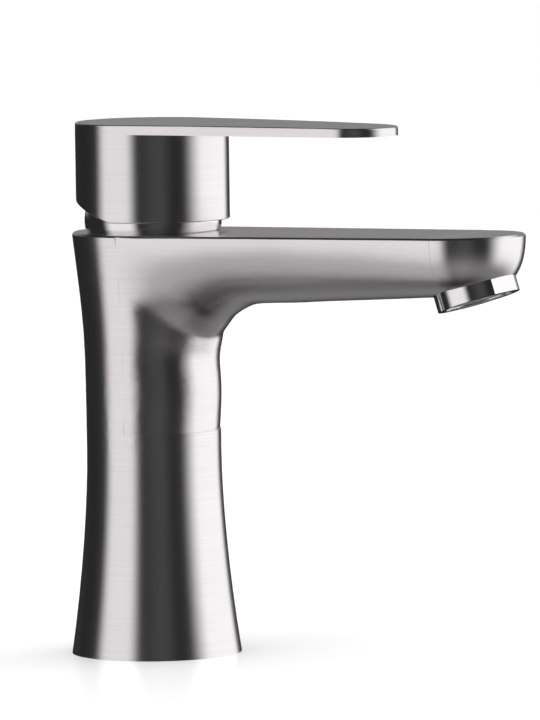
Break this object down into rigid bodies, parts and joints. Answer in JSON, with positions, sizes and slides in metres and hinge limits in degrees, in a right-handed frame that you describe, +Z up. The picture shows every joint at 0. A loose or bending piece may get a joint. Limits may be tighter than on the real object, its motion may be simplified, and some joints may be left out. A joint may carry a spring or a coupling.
{
  "type": "basin mixer faucet",
  "caption": "Single-lever basin mixer faucet: waisted round column, flat-topped spout with tilted aerator, round cap with a flat lever plate.",
  "frame": {"origin": "centre of the round base on the deck", "axes": "+Z up out of the deck, +X along the spout towards the user, -Y is the hot side and +Y the cold side"},
  "size_m": [0.1473, 0.05, 0.1567],
  "materials": {
    "steel_body": "satin, lightly blurred reflections",
    "steel_handle": "satin, lightly blurred reflections",
    "steel_trim": "polished, turned",
    "brass": "machined",
    "copper_tube": "drawn tube",
    "seal": "matt",
    "cartridge_white": "moulded",
    "cartridge_blue": "moulded",
    "stop_red": "moulded",
    "ceramic": "lapped ceramic",
    "aerator_grey": "moulded",
    "screen": "woven wire",
    "pin_steel": "ground",
    "hub_zinc": "cast zinc",
    "screw_black": "black oxide",
    "plug_red_blue": "half red, half blue"
  },
  "bodies": {
    "faucet_body": {"body_casting": "steel_body", "base_insert": "brass", "base_gasket": "seal", "hot_riser": "copper_tube", "cold_riser": "copper_tube", "valve_seat": "brass", "seat_seal": "seal", "port_seals": "seal", "cartridge_base": "cartridge_white", "fixed_disc": "ceramic", "cartridge_housing": "cartridge_white", "cartridge_nut": "brass", "trim_ring": "steel_trim", "trim_seal": "seal", "stop_ring": "stop_red", "outlet_socket": "brass", "aerator_housing": "steel_trim", "aerator_insert": "aerator_grey", "aerator_screen": "screen", "aerator_gasket": "seal"},
    "turning_core": {"rotor": "cartridge_blue", "pivot_pin": "pin_steel"},
    "disc_stack": {"moving_disc": "ceramic", "disc_carrier": "cartridge_blue"},
    "handle": {"cartridge_stem": "pin_steel", "lever_handle": "steel_handle", "handle_hub": "hub_zinc", "grub_screw": "screw_black", "index_plug": "plug_red_blue"}
  },
  "joints": [
    {"name": "temperature_turn", "type": "hinge", "parent": "faucet_body", "child": "turning_core", "pos_m": [0.0008, 0, 0.1264], "axis": [0, 0, 1], "range_deg": [-45, 45]},
    {"name": "lever_lift", "type": "hinge", "parent": "turning_core", "child": "handle", "pos_m": [0.0008, 0, 0.1264], "axis": [0, -1, 0], "range_deg": [0, 22]},
    {"name": "disc_slide", "type": "slide", "parent": "turning_core", "child": "disc_stack", "axis": [1, 0, 0], "range_m": [0, 0.0046]}
  ],
  "couplings": [
    {"joint": "disc_slide", "follows": "lever_lift", "m_per_rad": 0.01185}
  ]
}
